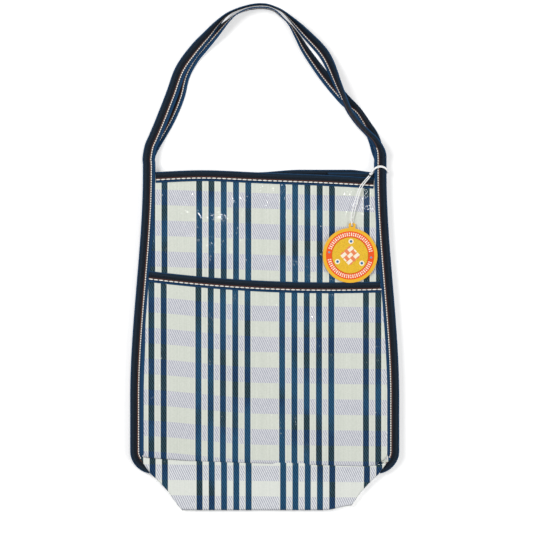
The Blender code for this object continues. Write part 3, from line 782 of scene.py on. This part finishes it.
# three round spots, evenly spaced
SPOT_OUT = 0.0160
spots = [math.pi / 2 + k * math.tau / 3 for k in range(3)]
for label, radius, layer, ink in (("rims", 0.0029, 1, "cream"), ("middles", 0.0015, 2, "deep_blue")):
    printed("tag_printed_spot_" + label,
            [round_patch(radius, at=(SPOT_OUT * math.cos(a), SPOT_OUT * math.sin(a)), layer=layer, corners=24)
             for a in spots], ink)
tag_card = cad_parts["tag"]
tag_card.data.materials.clear()
tag_card.data.materials.append(CARD)

# ------------------------------------------------------------ the two tapes that go on as handles
# a station of a handle: its place across, in half mouth widths; its place up, in rises of the
# handle; its twist in degrees; and the height of its lowest edge
FRONT_ROUTE = [
    (-0.936, 0.150, 0, 0.0082), (-0.902, 0.208, 0, 0.0074), (-0.848, 0.303, 0, 0.0060),
    (-0.765, 0.459, 0, 0.0040),
    (-0.689, 0.609, 4, 0.0026), (-0.575, 0.726, 20, 0.0029),
    (-0.466, 0.813, 45, 0.0062), (-0.372, 0.892, 72, 0.0052), (-0.272, 0.952, 88, 0.0014),
    (-0.122, 0.990, 90, 0.0002), (0.000, 0.996, 90, 0.0002), (0.090, 0.977, 90, 0.0002),
    (0.176, 0.938, 84, 0.0024), (0.342, 0.817, 46, 0.0046), (0.500, 0.688, 32, 0.0018),
    (0.608, 0.504, 54, 0.0072), (0.688, 0.371, 66, 0.0070), (0.764, 0.292, 67, 0.0062),
    (0.844, 0.232, 64, 0.0052), (0.904, 0.186, 56, 0.0052), (0.944, 0.128, 36, 0.0062),
]
BACK_ROUTE = [
    (-0.925, 0.142, 0, 0.0004), (-0.793, 0.309, 0, 0.0002), (-0.711, 0.449, 0, 0.0002),
    (-0.666, 0.576, 0, 0.0002), (-0.592, 0.677, -4, 0.0002), (-0.505, 0.752, -14, 0.0002),
    (-0.425, 0.812, -34, 0.0002), (-0.360, 0.858, -54, 0.0002), (-0.299, 0.900, -72, 0.0002),
    (-0.223, 0.942, -84, 0.0002),
    (-0.120, 0.970, -90, 0.0002), (0.000, 0.976, -90, 0.0002), (0.079, 0.960, -90, 0.0002),
    (0.146, 0.919, -88, 0.0002), (0.212, 0.870, -76, 0.0002), (0.270, 0.806, -60, 0.0002),
    (0.342, 0.718, -45, 0.0002), (0.482, 0.579, -28, 0.0002), (0.609, 0.472, -10, 0.0002),
    (0.681, 0.415, -16, 0.0002), (0.765, 0.360, -40, 0.0002), (0.838, 0.280, -34, 0.0002),
    (0.896, 0.205, -10, 0.0002), (0.928, 0.130, 0, 0.0003),
]


ROLL_FROM, ROLL_TO = 0.031, 0.083          # above the mouth, the right strap rolls and hides its stitches
HANDLE_STITCH = (0.0028, 0.0023, 0.0014, 0.0007)     # pitch, length, width, height


def rolls(place):
    return place.x > 0.080 and ROLL_FROM < place.y - Y_MOUTH < ROLL_TO


def handle_set(name, stations, z_mid, wide_up, nodes):
    """A side tape with its handle, and its stitch rows."""
    tape, frames = side_and_handle(name + "_tape_and_handle", stations, z_mid, wide_up)
    outside = 1 if wide_up else -1
    strap = [f for f in frames if f[0].y > Y_MOUTH + 0.004]
    seen = [f for f in frames if not (wide_up and rolls(f[0]))]
    rows = [stitch_row(name + "_tape_stitches", marks(seen, 0.0001, outside), *HANDLE_STITCH),
            stitch_row(name + "_handle_under_stitches", marks(strap, 0.0001, -outside), *HANDLE_STITCH)]
    for piece in [tape] + rows:
        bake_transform(piece)
    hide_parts(*nodes)


handle_set("front", FRONT_ROUTE, Z_FRONT, True,
           ("front_left_tape", "front_right_tape", "front_handle"))
handle_set("back", BACK_ROUTE, Z_BACK, False,
           ("back_left_tape", "back_right_tape", "back_handle"))


# ------------------------------------------------------------ sheets
def wall_sheet(name, mouth, foot, inset, z_mid, lie, drop, material, columns=120, rows=140):
    """A wall between its tapes, from its foot to its mouth."""
    def where(u, v):
        share = 2 * u - 1
        x = share * (MOUTH_W / 2 - inset)
        for _ in range(3):
            y = mix(foot(x), mouth(x), v)
            x = share * (half_width(y) - inset)
            turn = CORNER_Y - y
            if turn > 0:            # round the bottom corner
                x = share * (CORNER_X + math.sqrt(max((CORNER_R - inset) ** 2 - turn ** 2, 0)))
        roll = drop * math.exp(-((y - foot(x)) / 0.0026) ** 2)
        return (x, y, z_mid + lie(x, y) - roll), (x, y)
    return cloth(name, columns, rows, where, material)


def under_tape(x, y):
    """0 on the open wall, rising to 1 just outwards of the side tape's inner edge."""
    wider = 0.0019 * smooth((-0.06 - y) / 0.06) if x < 0 else 0
    turn = CORNER_Y - y
    if turn > 0 and abs(x) > CORNER_X:
        outwards = math.hypot(abs(x) - CORNER_X, turn) - CORNER_R
    else:
        outwards = abs(x) - half_width(y)
    return smooth((outwards + TAPE_W + wider + 0.0006) / 0.0018)


def front_give(x, y):
    """How the front lies: its edge stays between the leaves of the side tapes."""
    return give(x, y) - corner_dive(y) * under_tape(x, y)


def pocket_give(x, y):
    """How the pocket lies: as the front does, and tucked in under the side tapes."""
    return front_give(x, y) - 0.0009 * under_tape(x, y)


front_sheet = wall_sheet("front_wall_sheet", lambda x: front_mouth(x) - 0.001, front_crease, 0.0015,
                         Z_FRONT, front_give, 0.0006, FRONT_WEAVE, 110, 130)
pocket_sheet = wall_sheet("pocket_sheet", lambda x: hem_line(x) - 0.001, lambda x: front_crease(x) - 0.0006,
                          POCKET_IN, Z_POCKET, pocket_give, 0.0005, POCKET_WEAVE, 150, 120)
back_sheet = wall_sheet("back_wall_sheet", lambda x: Y_MOUTH - 0.001, lambda x: Y_CREASE + 0.0003, 0.0015,
                        Z_BACK, lambda x, y: 0.0, 0.0, BACK_WEAVE, 90, 100)
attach(front_sheet, "front_wall")
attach(pocket_sheet, "front_wall")
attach(back_sheet, "back_wall")
for piece, node, label in ((front_sheet, "front_panel", "front_weave"),
                           (pocket_sheet, "pocket_panel", "pocket_weave"),
                           (back_sheet, "back_panel", "back_weave")):
    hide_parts(node)

# ------------------------------------------------------------ gussets and bottom
Z_HINGE_BACK, Z_HINGE_FRONT = 0.00305, 0.0079354     # heights of the folds beside the walls


def gusset_place(side, u, y):
    """A point of a gusset folded in half inwards: its back half, the fold, its front half."""
    t = (Y_MOUTH - y) / WALL_H
    hinge = (MOUTH_W + (BASE_W - MOUTH_W) * t) / 2 - HINGE_IN
    folded = 1 - abs(2 * u - 1)                     # 0 at the walls, 1 at the fold
    back = u < 0.5
    if back:
        z = mix(Z_HINGE_BACK, Z_INNER_FOLD - 0.00035, folded) - 0.0005 * (1 - folded) ** 0.5
    else:
        z = mix(Z_HINGE_FRONT, Z_INNER_FOLD + 0.00035, folded) + 0.0005 * (1 - folded) ** 0.5
    if abs(u - 0.5) < 1e-6:
        z = Z_INNER_FOLD
    return side * (hinge - HALF_D * folded), y, z


def gusset_part(side, name, y_low, y_high, rows, material, node, label):
    """A gusset's sheet, or the tape folded over its top edge, bending at the inner fold."""
    def where(u, v):
        y = mix(y_low, y_high, v)
        place = gusset_place(side, u, y)
        flat = (y_high - y, u * 2 * HALF_D) if label == "binding_tape" else (u * 2 * HALF_D, y)
        return place, flat

    which = "left" if side < 0 else "right"
    piece = cloth(which + name, 60, rows, where, material, 2.4 if label == "binding_tape" else 0.8)
    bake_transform(piece)
    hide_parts(which + "_gusset_back" + node, which + "_gusset_front" + node)
    return piece


gussets, gusset_tapes = [], []
for side in (-1, 1):
    gussets.append(gusset_part(side, "_gusset_sheet", Y_CREASE + 0.002, Y_MOUTH - 0.0016, 60,
                               GUSSET_WEAVE, "", "gusset_weave"))
    gusset_tapes.append(gusset_part(side, "_gusset_mouth_binding", Y_MOUTH - 0.0007 - HEM_W, Y_MOUTH - 0.0007,
                                    8, HEM_TAPE, "_binding", "binding_tape"))


def bottom_edge(y):
    """Half width of the bottom below the crease: over the tapes' ends, then in to the fold."""
    depth = (Y_CREASE - y) / HALF_D
    return float(np.interp(depth, (-0.09, 0.02, 0.255, 0.44, 0.62, 0.86, 1.0),
                           (0.1432, 0.1395, 0.1302, 0.1194, 0.1102, 0.1010, FOLD_END)))


def bottom_sheet_where(u, v):
    """A point of the bottom, folded outwards: its back half, the fold, its front half."""
    share = 2 * u - 1
    folded = 1 - abs(2 * v - 1)
    y_out = Y_FOLD + 0.0055 * smooth((share - 0.62) / 0.38) ** 2
    crease = Y_CREASE - 0.0003 if v < 0.5 else front_crease(share * 0.1425) + 0.0010
    y = mix(crease, y_out, folded)
    x = share * bottom_edge(y)
    ripple = 0.00035 * noise.noise(Vector((x * 30, y * 30, 5.5))) * (1 - folded)
    if v < 0.5:
        z = mix(Z_HINGE_BACK - 0.0005, Z_INNER_FOLD - 0.0004, folded)
    else:
        tucked = mix(0.0018, 0.0003, smooth((-share - 0.5) / 0.2)) * math.exp(-((crease - y) / 0.011) ** 2)
        z = mix(Z_HINGE_FRONT + 0.0005, Z_INNER_FOLD + 0.0004, folded) + ripple + tucked
    if abs(v - 0.5) < 1e-6:
        z = Z_INNER_FOLD
    return (x, y, z), (x, y if v > 0.5 else 2 * Y_FOLD - y)


bottom = cloth("bottom_sheet", 110, 60, bottom_sheet_where, BOTTOM_WEAVE)
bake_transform(bottom)
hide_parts("bottom_back", "bottom_front")


# ------------------------------------------------------------ bindings of the cross edges
HEM_STITCH_IN = 0.0090
HEM_STITCH = (0.0058, 0.0051, 0.0015, 0.0008)        # pitch, length, width, height


def cross_binding(name, line, z_mid, lie, x_end, wide_up, body, node, under):
    """Tape folded over a cross edge, following how the wall lies, with its stitches."""
    face = 1 if wide_up else -1
    leaves = (HEM_W, under) if wide_up else (under, HEM_W)
    up = Vector((0, 0, 1))
    frames = []
    for x in np.linspace(-x_end, x_end, 90):
        slope = (line(x + 0.001) - line(x - 0.001)) / 0.002
        travel = Vector((1, slope, 0)).normalized()
        across = Vector((travel.y, -travel.x, 0))
        y = line(x)
        frames.append((Vector((x, y, z_mid + lie(x, y - 0.006))), across, up,
                       SHEET_T + 0.0004, *leaves))
    band = tape_run(name, frames, HEM_TAPE)
    row = stitch_row(name + "_stitches", marks(frames, 0.00012, face, HEM_STITCH_IN), *HEM_STITCH)
    for piece in (band, row):
        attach(piece, body)
    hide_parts(node)
    return band, row


MOUTH_END = MOUTH_W / 2 - TAPE_W - 0.0003
front_hem, front_hem_row = cross_binding("front_mouth_binding", front_mouth, Z_FRONT, give, MOUTH_END, True,
                                         "front_wall", "front_top_binding", 0.006)


def back_mouth(x):
    """The back mouth's edge stands up over the front's on the right."""
    return Y_MOUTH + 0.0030 * smooth((x + 0.01) / 0.05) * smooth((0.127 - x) / 0.03)


back_hem, back_hem_row = cross_binding("back_mouth_binding", back_mouth, Z_BACK, lambda x, y: 0.0,
                                       MOUTH_END, False, "back_wall", "back_top_binding", HEM_W - 0.0004)
HEM_END = half_width(hem_line(0)) - TAPE_W - 0.0006
pocket_hem, pocket_hem_row = cross_binding("pocket_mouth_binding", hem_line, Z_POCKET, give, HEM_END, True,
                                           "front_wall", "pocket_binding", 0.0020)

bpy.data.objects.remove(STITCH)
